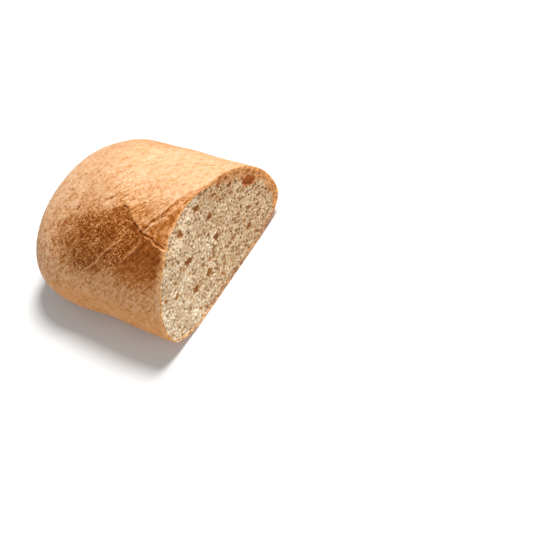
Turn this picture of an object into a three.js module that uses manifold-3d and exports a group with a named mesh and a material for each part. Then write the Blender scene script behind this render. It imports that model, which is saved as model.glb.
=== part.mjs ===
// Half of an oblong sourdough loaf, cut square across: one solid of bread, with the folds and cracks
// of its crust and the larger bubbles that the cut opens.
// Millimetres, +Z up. X runs along the loaf from the round heel to the cut, and Y across it.
// The origin is on the flat base, under the middle of the loaf.
// A place on the crust is given as (along, around): millimetres from the cut towards the heel, and
// degrees round the section, from the far side (0) over the top (90) to the near side (180).

import * as THREE from "three";
import { mergeVertices } from "three/addons/utils/BufferGeometryUtils.js";
import Module from "manifold-3d";

// Size of the half loaf
const LENGTH = 135;
const WIDTH = 130;
const HEIGHT = 77;
const BELLY = 0.27 * HEIGHT; // height of the widest line above the base
const BASE_SINK = 0.085 * BELLY; // how far the underside would sag below the flat base it baked on

// Roundness of each outline, as a superellipse exponent: 2 is an ellipse, and more is boxier
const CROWN_ROUNDNESS = 1.9;
const UNDERSIDE_ROUNDNESS = 2.9;
const HEEL_ROUNDNESS = { plan: 5.5, crown: 3.15, underside: 4.2 };

// Hand-shaped unevenness: soft waves over the whole crust, and swellings where the dough sprang most
const WAVES = [
  { height: 0.45, length: 88, turns: 2, phase: 0.6 },
  { height: 0.35, length: 61, turns: 3, phase: 2.1 },
  { height: 0.25, length: 43, turns: 5, phase: 4.0 },
];
const SWELLINGS = [
  { along: 80, around: 72, height: 2.6, radius: 34 },
  { along: 112, around: 196, height: 1.6, radius: 26 },
];

// Where the skin tore in the oven: a valley that opens towards the cut, between an upper fold and a lip
const TEAR_TIP = { along: 23, around: 116 };
const FOLD_AT_CUT = 77; // degrees round the section
const LIP_AT_CUT = 122;
const VALLEY_DEPTH = 1.7;
const VALLEY_FLOOR = 0.7; // where the valley is deepest, as a share of the way from the fold to the lip
const LIP_RISE = 0.5; // how far the flap below the lip stands up
const LIP_WIDTH = 12; // degrees

// Open cracks, each a groove along a line on the crust
const CRACK_RADIUS = 1.2;
const CRACK_LIFT = 0.3; // from the crust to the groove's middle line, outward
const CRACK_SIDES = 6;
const CRACK_STEPS = 3; // between one point of the line and the next
const CRACKS = {
  skin_tear: [[57, 105], [51, 107], [47, 103.5], [35, 109.5], [24, 115.5]],
  upper_fold: [[24, 115.5], [16, 102], [8, 88.5], [-4, 71]],
  flap_lip: [[24, 115.5], [16, 116], [8, 118.5], [-4, 121.5]],
  shoulder_split: [[63, 105], [58, 100], [53, 95]],
};

// Bubbles opened by the cut: the largest where they are, as [across, up, long radius, short radius, tilt],
// then a scatter of smaller ones on a jittered grid
const LARGE_BUBBLES = [
  [47, 43, 5.5, 3.4, -52],
  [3, 68, 3.4, 2.5, 10],
  [8, 54, 3.0, 2.4, 0],
  [-17, 66, 3.2, 2.5, 30],
  [5, 37, 3.8, 2.6, 56],
  [31, 16, 3.2, 2.5, 20],
  [-22, 45, 5.6, 2.6, -20],
  [-14, 22, 3.5, 2.7, 40],
  [-28, 23, 3.0, 2.4, 0],
  [-43, 35, 2.8, 2.3, 15],
  [19, 63, 3.8, 2.0, -25],
  [38, 27, 2.6, 2.1, 0],
];
const SCATTER_STEP = 14;
const SCATTER_JITTER = 5;
const SCATTER_RADIUS = [1.3, 2.3];
const SCATTER_STRETCH = 1.2; // long radius for each millimetre of the short one
const SCATTER_APART = 1.5; // least room to a larger bubble, in radii of the smaller one
const SCATTER_SEED = 7;
const CRUST_CLEAR = 5; // from a scattered bubble's middle to the crust
const BUBBLE_SUNK = 0.25; // share of a bubble's short radius that its middle lies behind the cut
const BUBBLE_FACES = [9, 6]; // round it, and from end to end

// Faces round the loaf, rings along it, and the part of those rings that covers the blunt heel
const AROUND_STEPS = 72;
const FINER_AT = 105; // degrees round the section, where the folds are and the faces are smallest
const FINER_BY = 0.45; // share by which they are smaller there
const RINGS = 42;
const HEEL_RINGS = 0.3;
const HEEL_FACE = 0.9; // share of the section's width where the heel's rings begin
const PAST_CUT = 8; // the dough runs on this far, for the knife to cut

const TURN = 2 * Math.PI;
const radians = THREE.MathUtils.degToRad;
const { clamp, lerp, smoothstep } = THREE.MathUtils;
const signedPower = (value, power) => Math.sign(value) * Math.abs(value) ** power;
const superellipse = (t, n) => (1 - t ** n) ** (1 / n);

const wasm = await Module();
wasm.setup();

// The torn valley and the flap beside it, as a height on the crust
function tearRelief(along, degrees) {
  if (along > TEAR_TIP.along) return 0;
  const open = 1 - Math.max(along, 0) / TEAR_TIP.along;
  const fold = lerp(TEAR_TIP.around, FOLD_AT_CUT, open);
  const lip = lerp(TEAR_TIP.around, LIP_AT_CUT, open);
  if (degrees > lip) return LIP_RISE * Math.sqrt(open) * (1 - smoothstep(degrees, lip, lip + LIP_WIDTH));
  if (degrees < fold) return 0;
  return -VALLEY_DEPTH * Math.sqrt(open) * smoothstep(degrees, fold, lerp(fold, lip, VALLEY_FLOOR));
}

// How far the crust stands off its smooth form at a place
function relief(along, around) {
  const degrees = THREE.MathUtils.radToDeg(around);
  let height = tearRelief(along, degrees);
  for (const wave of WAVES)
    height += wave.height * Math.sin((TURN * along) / wave.length + wave.turns * around + wave.phase);
  for (const swelling of SWELLINGS) {
    const turned = THREE.MathUtils.euclideanModulo(degrees - swelling.around + 180, 360) - 180;
    const aside = radians(turned) * (WIDTH / 2);
    const away = Math.hypot(along - swelling.along, aside) / swelling.radius;
    height += swelling.height * Math.exp(-away * away);
  }
  return height;
}

// A point on the crust, or raised above it; around is in radians
function crustPoint(along, around, raised = 0) {
  const t = clamp(along / LENGTH, 0, 1);
  const c = Math.cos(around);
  const s = Math.sin(around);
  const above = s >= 0;
  const power = 2 / (above ? CROWN_ROUNDNESS : UNDERSIDE_ROUNDNESS);
  const reach = above
    ? (HEIGHT - BELLY) * superellipse(t, HEEL_ROUNDNESS.crown)
    : (BELLY + BASE_SINK) * superellipse(t, HEEL_ROUNDNESS.underside);
  const y = (WIDTH / 2) * superellipse(t, HEEL_ROUNDNESS.plan) * signedPower(c, power);
  const z = reach * signedPower(s, power);
  const radius = Math.hypot(y, z);
  const height = relief(along, around) * Math.min(1, radius / BELLY) + raised;
  const grown = radius > 0 ? 1 + height / radius : 1;
  return new THREE.Vector3(LENGTH / 2 - along, y * grown, BELLY + z * grown);
}

// Distance from the cut of the ring at a share of the way from the heel's tip to the end past the cut
function stationOf(share) {
  const { plan } = HEEL_ROUNDNESS;
  if (share < HEEL_RINGS) return LENGTH * superellipse((HEEL_FACE * share) / HEEL_RINGS, plan);
  const side = (share - HEEL_RINGS) / (1 - 1 / RINGS - HEEL_RINGS);
  return lerp(LENGTH * superellipse(HEEL_FACE, plan), -PAST_CUT, Math.min(side, 1));
}

// The uncut dough: a sphere whose poles are the heel's tip and the middle of the end past the cut
function doughGeometry() {
  const geometry = new THREE.SphereGeometry(1, AROUND_STEPS, RINGS);
  const { position, uv } = geometry.attributes;
  const endMiddle = new THREE.Vector3(LENGTH / 2 + PAST_CUT, 0, BELLY);
  for (let i = 0; i < position.count; i++) {
    const share = 1 - uv.getY(i);
    const around = TURN * (1 - uv.getX(i));
    const eased = around - FINER_BY * Math.sin(around - radians(FINER_AT));
    const place = share < 1 ? crustPoint(stationOf(share), eased) : endMiddle;
    position.setXYZ(i, place.x, place.y, place.z);
  }
  return geometry;
}

// A groove's cutter: a thin rod along a line on the crust
function crackGeometry(line) {
  const points = line.map(([along, degrees]) => crustPoint(along, radians(degrees), CRACK_LIFT));
  const section = new THREE.Shape(
    Array.from({ length: CRACK_SIDES }, (_, i) => {
      const angle = (TURN * i) / CRACK_SIDES;
      return new THREE.Vector2(CRACK_RADIUS * Math.cos(angle), CRACK_RADIUS * Math.sin(angle));
    }),
  );
  return new THREE.ExtrudeGeometry(section, {
    steps: CRACK_STEPS * (points.length - 1),
    extrudePath: new THREE.CatmullRomCurve3(points),
  });
}

// A bubble's cutter: a squashed sphere just behind the cut face
function bubbleGeometry([across, up, long, short, tilt]) {
  return new THREE.SphereGeometry(1, ...BUBBLE_FACES)
    .scale(short, long, short)
    .rotateX(radians(tilt))
    .translate(LENGTH / 2 - BUBBLE_SUNK * short, across, up);
}

// Numbers from 0 to 1, the same ones each time: a multiplicative congruential draw
function seededDraw(seed) {
  const multiplier = 16807;
  const modulus = 2147483647;
  let state = seed;
  return () => {
    state = (state * multiplier) % modulus;
    return state / modulus;
  };
}

// True where a bubble of the scatter is inside the crust and clear of the larger ones
function hasRoom(across, up, radius) {
  const crust = crustPoint(0, Math.atan2(up - BELLY, across));
  const inside = Math.hypot(crust.y, crust.z - BELLY) - Math.hypot(across, up - BELLY) > CRUST_CLEAR + radius;
  const clear = ([y, z, long]) => Math.hypot(across - y, up - z) > long + SCATTER_APART * radius;
  return inside && up > CRUST_CLEAR + radius && LARGE_BUBBLES.every(clear);
}

function scatteredBubbles() {
  const draw = seededDraw(SCATTER_SEED);
  const between = (low, high) => lerp(low, high, draw());
  const found = [];
  for (let y = -WIDTH / 2; y < WIDTH / 2; y += SCATTER_STEP)
    for (let z = 0; z < HEIGHT; z += SCATTER_STEP) {
      const across = y + between(-SCATTER_JITTER, SCATTER_JITTER);
      const up = z + between(-SCATTER_JITTER, SCATTER_JITTER);
      const radius = between(...SCATTER_RADIUS);
      const tilt = between(-90, 90);
      if (hasRoom(across, up, radius)) found.push([across, up, SCATTER_STRETCH * radius, radius, tilt]);
    }
  return found;
}

// A closed geometry as a solid that can be cut
function solidOf(geometry) {
  const bare = geometry.clone();
  bare.deleteAttribute("normal");
  bare.deleteAttribute("uv");
  const { attributes, index } = mergeVertices(bare);
  const vertProperties = attributes.position.array;
  const triVerts = new Uint32Array(index.array);
  return new wasm.Manifold(new wasm.Mesh({ numProp: 3, vertProperties, triVerts }));
}

function geometryOf(solid) {
  const { vertProperties, triVerts } = solid.getMesh();
  return new THREE.BufferGeometry()
    .setAttribute("position", new THREE.BufferAttribute(vertProperties, 3))
    .setIndex(new THREE.BufferAttribute(triVerts, 1));
}

function halfLoafGeometry() {
  const room = 2 * Math.max(LENGTH, WIDTH);
  const knife = new THREE.BoxGeometry(room, room, room).translate((LENGTH + room) / 2, 0, 0);
  const ovenFloor = new THREE.BoxGeometry(room, room, room).translate(0, 0, -room / 2);
  const cutters = [
    knife,
    ovenFloor,
    ...Object.values(CRACKS).map(crackGeometry),
    ...[...LARGE_BUBBLES, ...scatteredBubbles()].map(bubbleGeometry),
  ];
  const bread = cutters.reduce((solid, cutter) => solid.subtract(solidOf(cutter)), solidOf(doughGeometry()));
  const geometry = geometryOf(bread);
  geometry.computeBoundingBox();
  const middle = geometry.boundingBox.getCenter(new THREE.Vector3());
  geometry.translate(-middle.x, -middle.y, 0);
  geometry.computeVertexNormals();
  return geometry;
}

const crust = new THREE.MeshStandardMaterial({ color: 0xc68a4e, roughness: 0.7, metalness: 0 });
const halfLoaf = new THREE.Mesh(halfLoafGeometry(), crust);
halfLoaf.name = "half_loaf";

const part = new THREE.Group();
part.add(halfLoaf);
export default part;
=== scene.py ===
"""Half of an oblong sourdough loaf, dressed: its crust, its crumb and a plain studio.

Lengths are in millimetres until a mesh is made, and in metres from there on. A place on the crust is
given as (along, around): millimetres from the cut towards the heel, and degrees round the section,
from the far side (0) over the top (90) to the near side (180) and the base (270).
"""

import math

import bpy
import numpy as np
from mathutils import Matrix, Vector, noise


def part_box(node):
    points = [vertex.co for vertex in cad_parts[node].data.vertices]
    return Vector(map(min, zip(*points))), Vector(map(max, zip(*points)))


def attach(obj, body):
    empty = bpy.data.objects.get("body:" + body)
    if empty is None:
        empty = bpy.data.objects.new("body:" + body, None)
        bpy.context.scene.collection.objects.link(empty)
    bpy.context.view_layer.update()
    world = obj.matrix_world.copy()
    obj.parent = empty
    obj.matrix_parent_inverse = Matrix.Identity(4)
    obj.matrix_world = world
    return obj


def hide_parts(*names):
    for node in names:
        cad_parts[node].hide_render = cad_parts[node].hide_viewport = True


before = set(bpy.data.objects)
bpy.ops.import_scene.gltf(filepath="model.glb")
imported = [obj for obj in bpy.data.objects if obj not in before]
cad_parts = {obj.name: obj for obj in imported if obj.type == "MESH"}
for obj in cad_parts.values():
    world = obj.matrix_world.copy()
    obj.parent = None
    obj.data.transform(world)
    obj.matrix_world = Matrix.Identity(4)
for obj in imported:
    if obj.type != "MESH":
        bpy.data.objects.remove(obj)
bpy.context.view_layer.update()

MM = 0.001
NODE = "half_loaf"
BODY = "root"
LOW, HIGH = (np.array(corner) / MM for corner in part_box(NODE))

# Size and roundness of the loaf, as in its solid
LENGTH = HIGH[0] - LOW[0]
CUT_AT = HIGH[0]
WIDTH = 130.0
HEIGHT = 77.0
BELLY = 0.27 * HEIGHT  # height of the widest line above the base
BASE_SINK = 0.085 * BELLY  # how far the underside would sag below the flat base
CROWN_ROUNDNESS = 1.9
UNDERSIDE_ROUNDNESS = 2.9
HEEL_IN_PLAN = 5.5
HEEL_IN_CROWN = 3.15
HEEL_UNDERSIDE = 4.2
WAVES = ((0.45, 88, 2, 0.6), (0.35, 61, 3, 2.1), (0.25, 43, 5, 4.0))  # height, length, turns, phase
SWELLINGS = ((80, 72, 2.6, 34), (112, 196, 1.6, 26))  # along, around, height, radius

# The tear near the cut: a valley between an upper fold and the lip of a flap
TEAR_TIP = (23.0, 116.0)
FOLD_AT_CUT = 77.0
LIP_AT_CUT = 121.0
VALLEY_DEPTH = 1.0
VALLEY_FLOOR = 0.8
LIP_RISE = 0.6
LIP_WIDTH = 14.0
LIP_STEP = 0.4  # degrees on each side of the lip over which the flap steps up
LIP = (
    (0, LIP_AT_CUT),
    (4.4, 120.6),
    (6.2, 120),
    (10.2, 119.8),
    (12.9, 118.9),
    (14.6, 117.4),
    (20.6, 117),
    TEAR_TIP,
)

# Lines on the crust: where they run, then how deep or high, how wide, and how much one side stands up
CREASES = {
    "skin_tear": (
        ((47.5, 102.8), (43, 104.5), (39, 106.8), (34.7, 110.3), (24, 115.6), (20.5, 117.2)),
        -0.65,
        0.45,
        0.65,
    ),
    "tear_top": (((47.6, 102.9), (45, 103.6), (42.4, 104.8)), -0.8, 0.5, 0.0),
    "tear_hook": (((56.2, 105.4), (52, 106.2)), -0.9, 0.55, 0.0),
    "tear_corner": (((50.4, 106.8), (47.6, 104.8)), -0.45, 0.55, 0.0),
    "upper_fold": (
        ((26, 117), (20.7, 108.8), (15.6, 103), (12.5, 99.5), (6.7, 86.3), (-2, 70)),
        -0.9,
        0.65,
        0.4,
    ),
    "fold_branch": (((18.5, 108.5), (14.5, 104.2), (10.5, 101)), -0.6, 0.5, 0.0),
    "strip_flake": (((22.6, 114.5), (20, 111), (11, 102.8), (6.3, 96.4), (2.6, 88), (-2, 79)), 0.5, 0.6, 0.0),
    "inner_fold": (((9, 103.5), (5, 97.5), (-2, 84)), -0.5, 0.6, 0.0),
    "valley_fold": (((7, 105.5), (3, 99), (-2, 90)), -0.35, 0.6, 0.0),
    "flap_edge": (((22.8, 118), (23.5, 121.5), (25, 126), (28.7, 129.5), (36, 137)), 0.3, 0.6, 0.0),
    "flap_shadow": (((24.3, 117.8), (26.7, 121.3), (29.3, 124.8), (32, 129), (35, 132.8)), -0.5, 1.3, 0.0),
    "flap_seam": (((4.9, 127.5), (5.4, 131.8), (6.8, 137)), -0.3, 0.5, 0.0),
    "patch_ridge": (((63, 121.5), (60.7, 118.5), (57.5, 115.6)), 0.35, 0.6, 0.0),
    "side_wrinkle": (((37, 122), (41.5, 126), (48.4, 131.5), (56.6, 141.2), (67, 148)), 0.6, 0.6, 0.0),
    "wrinkle_shade": (((43, 128.6), (49, 133.5), (56, 142)), -0.35, 0.8, 0.0),
    "shoulder_split": (((63.7, 105), (60.7, 102.5), (57.3, 99.5), (54.3, 96.2)), -1.1, 0.45, 0.0),
    "upper_split": (((62.6, 96.5), (59.2, 94.5), (58.5, 92), (56.6, 89.5)), -1.0, 0.5, 0.0),
    "short_split": (((44.3, 100.8), (41, 96.8)), -0.8, 0.5, 0.0),
    "short_streak": (((42.3, 95.2), (40.2, 92.8)), -0.7, 0.8, 0.0),
    "heel_split": (((77, 105), (74.3, 102)), -0.45, 0.7, 0.0),
    "heel_streak": (((80, 96.2), (76.4, 94.5)), -0.4, 0.7, 0.0),
    "heel_pit": (((77.5, 99.2), (78.5, 100.3)), -0.8, 0.8, 0.0),
    "top_streak": (((43, 96), (39, 89), (30, 85.8), (20, 83)), -0.25, 2.2, 0.0),
    "heel_slit": (((84, 109.5), (85.8, 115)), -1.0, 0.8, 0.0),
    "heel_line": (((84.8, 115.5), (86.5, 118), (91.5, 122)), -0.4, 0.5, 0.0),
    "heel_dot": (((85, 105.2), (86.3, 106.4)), -1.0, 0.9, 0.0),
    "heel_nick": (((100.6, 100.6), (102, 102.4)), -0.8, 0.9, 0.0),
    "heel_scar": (((101.5, 113), (95.5, 114.4)), -0.45, 0.6, 0.0),
    "far_wrinkle": (((28, 34), (41, 38), (52, 44)), 0.2, 0.9, 0.0),
    "far_fold": (((60, 22), (72, 29), (84, 33)), 0.2, 0.9, 0.0),
    "far_shade": (((27, 31.5), (42, 35.6), (53, 41.5)), -0.3, 1.0, 0.0),
    "far_crease": (((12, 50), (20, 55), (31, 58)), -0.45, 0.6, 0.0),
    "far_split": (((70, 51), (75, 56), (82, 60)), -0.7, 0.5, 0.0),
    "far_streak": (((88, 20), (93, 26), (101, 31)), -0.4, 0.7, 0.0),
    "far_nick": (((49, 15), (52, 18)), -0.6, 0.7, 0.0),
}
MM_PER_DEGREE = 1.05  # of crust, round the section

# Spots on the crust: along, around, radius, and how much darker or paler they are baked
BAKED_SPOTS = (
    (84, 97, 9.0, 0.06),
    (66, 94, 8.0, 0.05),
    (59, 109, 6.0, -0.18),
    (41, 108, 3.0, 0.16),
    (38, 121, 4.0, -0.08),
    (33, 105.5, 4.0, 0.06),
    (25.5, 103.5, 3.5, 0.12),
    (20, 96.5, 3.0, 0.10),
    (31, 97.5, 3.0, -0.10),
    (72, 34, 20.0, 0.15),
    (34, 22, 16.0, 0.12),
    (100, 58, 14.0, 0.10),
    (52, 52, 12.0, -0.05),
    (5.2, 102.6, 2.6, 0.34),
    (2.4, 105.2, 2.0, 0.26),
    (2.0, 113.6, 1.4, 0.36),
    (9.6, 116.2, 2.0, 0.26),
    (8.6, 92.3, 1.6, 0.30),
    (12.0, 109.0, 2.2, 0.14),
    (18.2, 110.2, 1.8, -0.25),
    (1.2, 109.6, 1.8, -0.26),
    (18.0, 115.0, 1.6, -0.20),
    (3.6, 118.4, 1.6, -0.22),
)

# The crust's wall at the cut, and how deep its browning goes on into the crumb
RIM = 0.95
RIND_CROWN = 1.5
RIND_NEAR = 0.9
RIND_BASE = 4.6
RIND_CORNER = 2.4  # on the base by the near corner
RECESS = 9.0  # how far the crumb's plug reaches in behind the cut

# Cells of each surface, and the degrees round the section where its grid has corners
SKIN_CELLS = (112, 98)
SKIN_CORNERS = (58.0, 115.0, 165.0, 300.0)
SKIN_STEPS = ((0, 0.45), (28, 0.45), (36, 0.66), (95, 0.66), (116, 0.95))  # from the cut, cell length
HEEL_FACE = 0.9
CRUMB_CELLS = (380, 226)
CRUMB_CORNERS = (40.0, 140.0, 218.0, 322.0)

# The crumb's bubbles. The largest are the solid's, apart from the first, which is larger here: across, up,
# long radius, short radius, tilt in degrees and depth by short radius. Smaller ones are scattered on a
# jittered grid by the solid's rule.
LARGE_BUBBLES = (
    (48, 43, 7.4, 3.8, -40, 0.9),
    (3, 68, 3.4, 2.5, 10, 1.2),
    (8, 54, 3.0, 2.4, 0, 1.2),
    (-17, 66, 3.2, 2.5, 30, 1.2),
    (5, 37, 3.8, 2.6, 56, 1.1),
    (31, 16, 3.2, 2.5, 20, 1.0),
    (-22, 45, 5.6, 2.6, -20, 1.2),
    (-14, 22, 3.5, 2.7, 40, 1.0),
    (-28, 23, 3.0, 2.4, 0, 1.2),
    (-43, 35, 2.8, 2.3, 15, 0.9),
    (19, 63, 3.8, 2.0, -25, 1.0),
    (38, 27, 2.6, 2.1, 0, 0.9),
)
SCATTER_STEP = 14
SCATTER_JITTER = 5
SCATTER_RADIUS = (1.3, 2.3)
SCATTER_STRETCH = 1.2  # long radius for each millimetre of the short one
SCATTER_APART = 1.5  # least room to a larger bubble, in radii of the smaller one
SCATTER_SEED = 7
SCATTER_DEPTH = (0.4, 1.3)  # by short radius
DEPTH_SEED = 20011
CRUST_CLEAR = 5  # from a scattered bubble's middle to the crust


# Plain mathematics of the form


def superellipse(t, n):
    return (1 - np.clip(t, 0, 1) ** n) ** (1 / n)


def signed_power(value, power):
    return np.sign(value) * np.abs(value) ** power


def ease(low, high, value):
    share = np.clip((value - low) / (high - low), 0, 1)
    return share * share * (3 - 2 * share)


def interpolated(value, pairs):
    places, results = zip(*pairs)
    return np.interp(value, places, results)


def wobble(along, degrees, size, seed):
    """Smooth noise over the unrolled crust, from about -1 to 1, with features of a size in millimetres."""
    places = zip(along / size, degrees * MM_PER_DEGREE / size)
    return np.array([noise.noise(Vector((u, v, seed))) for u, v in places])


def tear_edges(along):
    """Angles of the tear's upper fold and of the flap's jagged lip, and how far the tear has opened."""
    open_share = np.clip(1 - np.maximum(along, 0) / TEAR_TIP[0], 0, 1)
    fold = TEAR_TIP[1] + (FOLD_AT_CUT - TEAR_TIP[1]) * open_share
    return fold, interpolated(along, LIP), open_share


def tear_relief(along, degrees):
    """The torn valley and the flap beside it, as a height on the crust."""
    fold, lip, open_share = tear_edges(along)
    grown = np.sqrt(open_share)
    floor = fold + (lip - fold) * VALLEY_FLOOR
    valley = -VALLEY_DEPTH * grown * ease(fold, np.maximum(floor, fold + 0.01), degrees)
    flap = LIP_RISE * grown * (1 - ease(lip, lip + LIP_WIDTH, degrees))
    over_lip = ease(lip - LIP_STEP, lip + LIP_STEP, degrees)
    return valley + (flap - valley) * over_lip


def unevenness(along, around):
    """How far the crust stands off its smooth form, without its lines and its fine skin."""
    degrees = np.degrees(around) % 360
    height = tear_relief(along, degrees)
    for tall, length, turns, phase in WAVES:
        height = height + tall * np.sin(2 * np.pi * along / length + turns * around + phase)
    for middle, facing, tall, radius in SWELLINGS:
        turned = (degrees - facing + 180) % 360 - 180
        away = np.hypot(along - middle, np.radians(turned) * WIDTH / 2) / radius
        height = height + tall * np.exp(-away ** 2)
    return height


def crust_points(along, around, raised=0.0):
    """Points on the crust, or raised above it, before the whole is centred on the frame's box."""
    t = np.clip(along / LENGTH, 0, 1)
    c, s = np.cos(around), np.sin(around)
    power = np.where(s >= 0, 2 / CROWN_ROUNDNESS, 2 / UNDERSIDE_ROUNDNESS)
    crown = (HEIGHT - BELLY) * superellipse(t, HEEL_IN_CROWN)
    underside = (BELLY + BASE_SINK) * superellipse(t, HEEL_UNDERSIDE)
    y = WIDTH / 2 * superellipse(t, HEEL_IN_PLAN) * signed_power(c, power)
    z = np.where(s >= 0, crown, underside) * signed_power(s, power)
    radius = np.maximum(np.hypot(y, z), 1e-6)
    height = unevenness(along, around) * np.minimum(1, radius / BELLY) + raised
    grown = 1 + height / radius
    return np.stack([CUT_AT - along, y * grown, np.maximum(BELLY + z * grown, 0)], axis=-1)


def middle_across():
    """How far the uneven form's middle lies to one side, which the solid takes out."""
    around = np.radians(np.arange(0, 360, 0.5))
    along = np.linspace(0, LENGTH, 200)
    sides = np.concatenate([crust_points(np.full_like(around, place), around)[:, 1] for place in along])
    return (sides.min() + sides.max()) / 2


SHIFT = np.array([0.0, middle_across(), 0.0])


# Grids: a square of cells laid on the section, with its border on the section's outline


def perimeter_angles(cells, corners):
    """Angles round the section at the square's border cells, evenly spaced on each of its four sides."""
    fine = np.radians(np.linspace(corners[0], corners[0] + 360, 7201))
    outline = crust_points(np.zeros_like(fine), fine)
    steps = np.linalg.norm(np.diff(outline, axis=0), axis=1)
    run = np.concatenate([[0], np.cumsum(steps + 1e-9)])
    ends = np.interp(np.radians([*corners, corners[0] + 360]), fine, run)
    sides = [np.linspace(ends[side], ends[side + 1], cells[side % 2], endpoint=False) for side in range(4)]
    return np.interp(np.concatenate([*sides, [run[-1]]]), run, fine)


def square_grid(cells, corners):
    """Share of the way out and the angle round the section, at each point of a square of cells."""
    across, up = cells
    a, b = np.meshgrid(np.linspace(-1, 1, across + 1), np.linspace(-1, 1, up + 1), indexing="ij")
    out = np.maximum(np.abs(a), np.abs(b))
    a = a / np.maximum(out, 1e-9)
    b = b / np.maximum(out, 1e-9)
    place = np.select(
        [b > 1 - 1e-9, a < -1 + 1e-9, b < -1 + 1e-9],
        [(1 - a) / 2 * across, across + (1 - b) / 2 * up, across + up + (a + 1) / 2 * across],
        2 * across + up + (b + 1) / 2 * up,
    )
    angles = perimeter_angles(cells, corners)
    return out, np.interp(place, np.arange(len(angles)), angles)


def border_order(cells):
    """The grid points on the square's border, in the order of perimeter_angles."""
    across, up = cells
    top = [(i, up) for i in range(across, 0, -1)]
    near = [(0, j) for j in range(up, 0, -1)]
    base = [(i, 0) for i in range(across)]
    far = [(across, j) for j in range(up)]
    return np.array(top + near + base + far)


def grid_quads(numbers):
    """Quads over a grid of vertex numbers, facing +X."""
    corners = [numbers[:-1, :-1], numbers[1:, :-1], numbers[1:, 1:], numbers[:-1, 1:]]
    return np.stack(corners, axis=-1).reshape(-1, 4)


def band_quads(first, second):
    """Quads between two closed rings of vertex numbers."""
    return np.stack([first, second, np.roll(second, -1), np.roll(first, -1)], axis=-1)


def mesh_from(name, points, faces, attributes):
    """A smooth mesh in metres from points in millimetres, with a value of each attribute at each point."""
    mesh = bpy.data.meshes.new(name)
    mesh.from_pydata((points * MM).tolist(), [], faces)
    for key, values in attributes.items():
        layer = mesh.attributes.new(key, "FLOAT", "POINT")
        layer.data.foreach_set("value", np.asarray(values, dtype=np.float32))
    mesh.shade_smooth()
    mesh.update()
    return mesh


def new_object(name, mesh):
    made = bpy.data.objects.new(name, mesh)
    bpy.context.scene.collection.objects.link(made)
    return made


# Lines on the crust


def line_distance(line, along, degrees):
    """Distance from a line on the unrolled crust, the side of it, and the ways to its start and its end."""
    points = np.array([(u, v * MM_PER_DEGREE) for u, v in line], dtype=float)
    here = np.stack([along, degrees * MM_PER_DEGREE], axis=-1)
    lengths = np.linalg.norm(np.diff(points, axis=0), axis=1)
    nearest = np.full(len(here), np.inf)
    side = np.zeros(len(here))
    passed = np.zeros(len(here))
    run = 0.0
    for start, end, length in zip(points[:-1], points[1:], lengths):
        ahead = (end - start) / length
        offset = here - start
        reach = np.clip(offset @ ahead, 0, length)
        gap = np.linalg.norm(offset - reach[:, None] * ahead, axis=1)
        closer = gap < nearest
        nearest = np.where(closer, gap, nearest)
        turn = ahead[0] * offset[:, 1] - ahead[1] * offset[:, 0]
        side = np.where(closer, np.sign(turn), side)
        passed = np.where(closer, run + reach, passed)
        run += length
    return nearest, side, passed, run - passed


STEP_REACH = 9.0  # how far a raised side takes to sink back to the crust
# Ridges are painted paler by their height: a painted highlight
FULL_RIDGE = 0.6  # height from which a ridge is as pale as it gets
LINE_TAPER = 2.0  # of a line's length, over which each end fades out
LIP_CRACK = 0.45  # from the lip to the crack below it and to the crest above it
LIP_LINE = 0.45  # half width of both
LIP_CRACK_DEPTH = 0.9
LIP_CRACK_ENDS = (0.8, 4.0)  # from the cut, where the crack closes again
LIP_CREST_RISE = 0.15
# The lip's crest gets the same painted highlight as the ridges, a little stronger
LIP_HIGHLIGHT = 1.1  # how pale the crest is beside the ridges
CREASED_TO = 110  # from the cut
CREASED_BETWEEN = (8, 160)  # degrees round the section
LINE_WANDER = 0.7


def crease_relief(along, degrees):
    """Height of the lines on the crust, and how deep in a crack and how far up a ridge each point is."""
    height = np.zeros(len(along))
    crack = np.zeros(len(along))
    ridge = np.zeros(len(along))
    lowest, highest = CREASED_BETWEEN
    near = (along < CREASED_TO) & (degrees > lowest) & (degrees < highest)
    u = along[near]
    v = degrees[near]
    u = u + LINE_WANDER * wobble(u, v, size=4.0, seed=3.0)
    v = v + LINE_WANDER * wobble(u, v, size=4.0, seed=8.0)
    uneven = 0.9 + 0.35 * wobble(u, v, size=3.0, seed=15.0)
    for line, depth, width, rise in CREASES.values():
        gap, side, from_start, from_end = line_distance(line, u, v)
        fade = min(LINE_TAPER, (from_start[0] + from_end[0]) / 4)
        runs_out = line[-1][0] < 0
        taper = ease(0, fade, from_start) * (1 if runs_out else ease(0, fade, from_end))
        profile = taper * uneven * np.exp(-((gap / width) ** 2))
        height[near] += depth * profile + rise * taper * np.exp(-gap / STEP_REACH) * np.maximum(side, 0)
        if depth < 0:
            crack[near] = np.maximum(crack[near], profile * min(1, -depth))
        else:
            ridge[near] = np.maximum(ridge[near], profile * min(1, depth / FULL_RIDGE))
    _, lip, open_share = tear_edges(along)
    past_lip = (degrees - lip) * MM_PER_DEGREE
    torn = ease(0, 0.04, open_share)
    lip_crack = torn * ease(*LIP_CRACK_ENDS, along) * np.exp(-(((past_lip + LIP_CRACK) / LIP_LINE) ** 2))
    lip_crest = torn * np.exp(-(((past_lip - LIP_CRACK) / LIP_LINE) ** 2))
    height += LIP_CREST_RISE * lip_crest - LIP_CRACK_DEPTH * lip_crack
    return height, np.maximum(crack, lip_crack), np.maximum(ridge, LIP_HIGHLIGHT * lip_crest)


# Where the oven browned the crust, and where warm bounce light is painted on its low side


def rim_shares(around):
    """How far each place round the cut belongs to the near side and to the base; the rest is the crown."""
    degrees = np.degrees(around) % 360
    past_corner = ease(212, 232, degrees)
    near = ease(100, 122, degrees) * (1 - past_corner)
    base = past_corner * (1 - ease(308, 328, degrees))
    return near, base


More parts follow.
